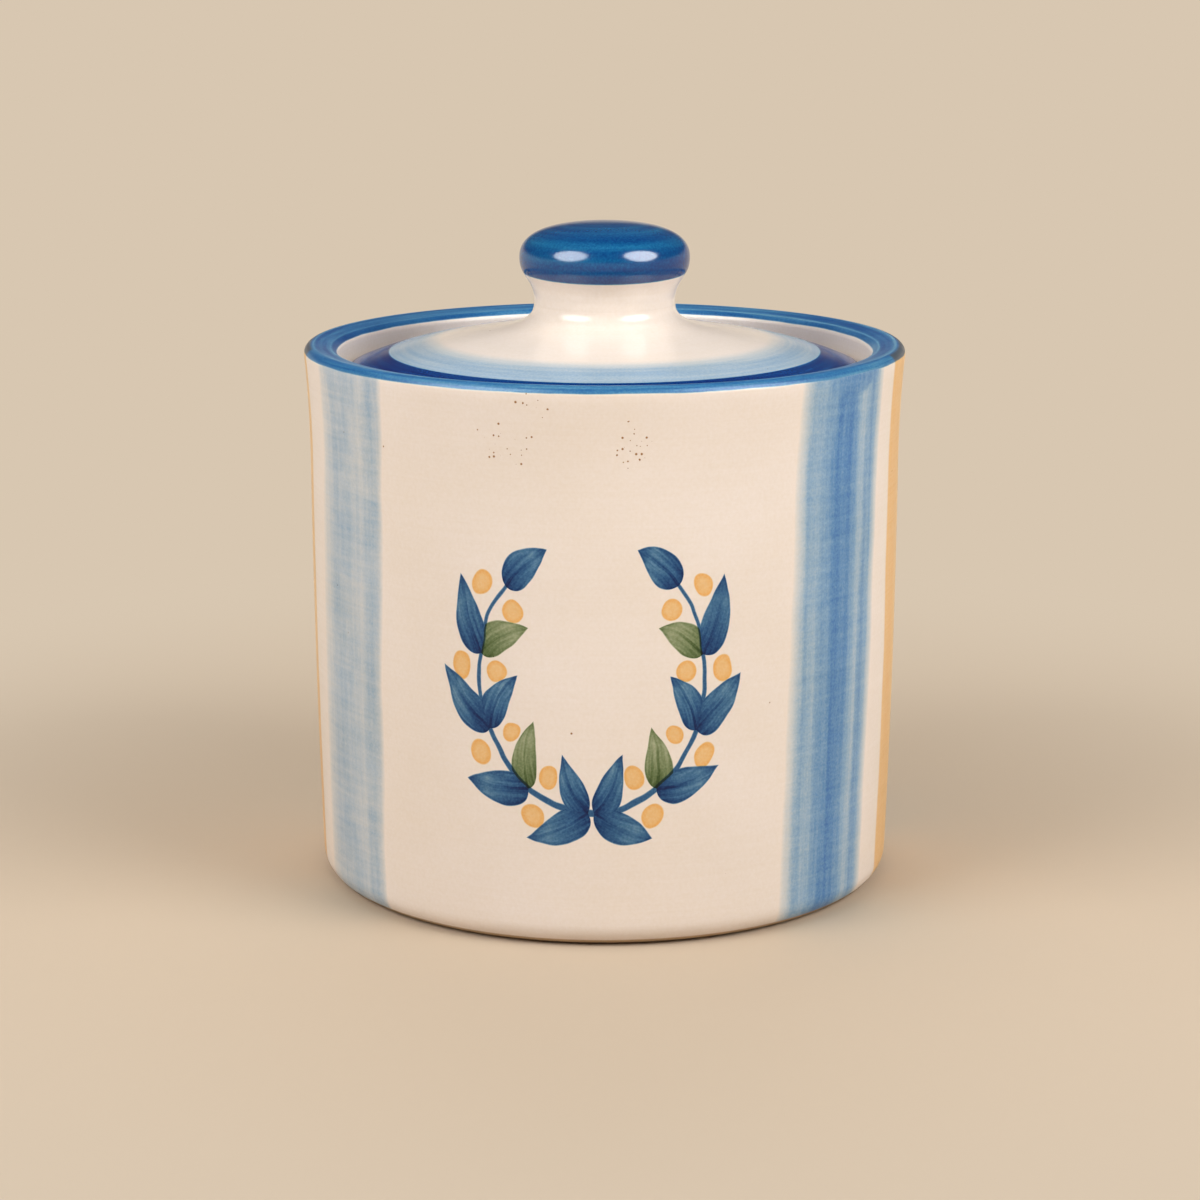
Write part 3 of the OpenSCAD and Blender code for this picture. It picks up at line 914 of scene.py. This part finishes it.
camera_data = bpy.data.cameras.new("camera")
camera_data.sensor_width = SENSOR
camera_data.lens = FOCAL_PIXELS / FRAME_PIXELS * SENSOR
camera = bpy.data.objects.new("camera", camera_data)
back = Vector((0, -math.cos(CAMERA_ELEVATION), math.sin(CAMERA_ELEVATION)))
camera.location = AIM + CAMERA_DISTANCE * back
camera.rotation_euler = (math.pi / 2 - CAMERA_ELEVATION, 0, 0)
bpy.context.collection.objects.link(camera)
bpy.context.scene.camera = camera

# Round soft boxes: turn from the camera and height above the horizon in degrees, distance and
# diameter in metres, watts, and whether they light the object or are only mirrored in its glaze
LAMP_AIM = Vector((0, 0, 0.1))
LAMPS = (
    ("soft_box_right", 55, 33, 0.87, 0.54, 6.6, True),
    ("soft_box_left", -52, 33, 0.87, 0.54, 5.2, True),
    ("soft_box_top", -60, 66, 0.9, 1.0, 1.9, True),
    ("soft_box_back", 180, 22, 0.9, 1.0, 6.0, True),
    ("glint_right", 55, 33, 0.8, 0.63, 10.8, False),
    ("glint_left", -52, 33, 0.8, 0.63, 8.8, False),
)

for name, turn, rise, distance, size, watts, lights in LAMPS:
    lamp_data = bpy.data.lights.new(name, "AREA")
    lamp_data.shape = "DISK"
    lamp_data.size = size
    lamp_data.energy = watts
    lamp = bpy.data.objects.new(name, lamp_data)
    lamp.visible_diffuse = lights
    lamp.visible_glossy = not lights
    a, e = math.radians(turn), math.radians(rise)
    away = Vector((math.sin(a) * math.cos(e), -math.cos(a) * math.cos(e), math.sin(e)))
    lamp.location = LAMP_AIM + distance * away
    lamp.rotation_euler = away.to_track_quat("Z", "Y").to_euler()
    bpy.context.collection.objects.link(lamp)

# Room light, and a pale floor that runs on into a backdrop of the colour that it has under the lamps:
# sine of the rise over which the backdrop dims, radii in metres over which the floor's own shade ends
ROOM = linear("#ECE1D5")
ROOM_STRENGTH = 0.24
PAPER = linear("#B6A48E")
PAPER_ROUGHNESS = 0.9
LIT_PAPER = linear("#D8C7B1")
DIM_WALL = linear("#4E443C")
BACKDROP_RISE = (0.04, 0.2)
FLOOR_R = 30
FLOOR_SEGMENTS = 96
LIT_FLOOR_R = (0.1, 0.35)


def looked_at(tree):
    """1 for a ray from the camera, or from a mirror or glass that it sees, and 0 for one that lights."""
    ray = add(tree, "LightPath")
    mirrored = add(tree, "Math", {0: ray["Is Glossy Ray"], 1: ray["Is Transmission Ray"]},
                   operation="MAXIMUM")[0]
    return add(tree, "Math", {0: ray["Is Camera Ray"], 1: mirrored}, operation="MAXIMUM")[0]


def room():
    """Even, warm light from all round, in whose place the camera and mirrors see a backdrop."""
    world = bpy.data.worlds.new("room")
    world.use_nodes = True
    tree = world.node_tree
    tree.nodes.clear()
    light = add(tree, "Background", {"Color": ROOM, "Strength": ROOM_STRENGTH})[0]
    rise = add(tree, "SeparateXYZ", {0: add(tree, "TexCoord")["Generated"]})[2]
    above = add(tree, "MapRange", {"Value": rise, "From Min": BACKDROP_RISE[0],
                                   "From Max": BACKDROP_RISE[1]}, interpolation_type="SMOOTHSTEP")[0]
    fading = add(tree, "Mix", {0: above, 6: LIT_PAPER, 7: DIM_WALL}, data_type="RGBA")[2]
    backdrop = add(tree, "Background", {"Color": fading, "Strength": 1})[0]
    either = add(tree, "MixShader", {0: looked_at(tree), 1: light, 2: backdrop})[0]
    add(tree, "OutputWorld", {"Surface": either})
    return world


def matt_paper():
    """Matt warm paper, without a sheen: it keeps the shadow at the foot, and farther off is evenly lit."""
    material = blank_material("matt_paper")
    tree = material.node_tree
    sheet = add(tree, "BsdfPrincipled", {"Base Color": PAPER, "Roughness": PAPER_ROUGHNESS})[0]
    apart = add(tree, "VectorMath", {0: add(tree, "TexCoord")["Object"]}, operation="LENGTH")["Value"]
    far = add(tree, "MapRange", {"Value": apart, "From Min": LIT_FLOOR_R[0], "From Max": LIT_FLOOR_R[1]},
              interpolation_type="SMOOTHSTEP")[0]
    glow = add(tree, "Emission", {"Color": LIT_PAPER, "Strength": 1})[0]
    share = add(tree, "Math", {0: far, 1: looked_at(tree)}, operation="MULTIPLY")[0]
    seen = add(tree, "MixShader", {0: share, 1: sheet, 2: glow})[0]
    add(tree, "OutputMaterial", {"Surface": seen})
    return material


bpy.context.scene.world = room()

floor_mesh = bpy.data.meshes.new("floor")
bm = bmesh.new()
bmesh.ops.create_circle(bm, cap_ends=True, segments=FLOOR_SEGMENTS, radius=FLOOR_R)
bm.to_mesh(floor_mesh)
bm.free()
floor_mesh.materials.append(matt_paper())
floor = bpy.data.objects.new("floor", floor_mesh)
bpy.context.collection.objects.link(floor)

bpy.context.scene.view_settings.view_transform = "Standard"
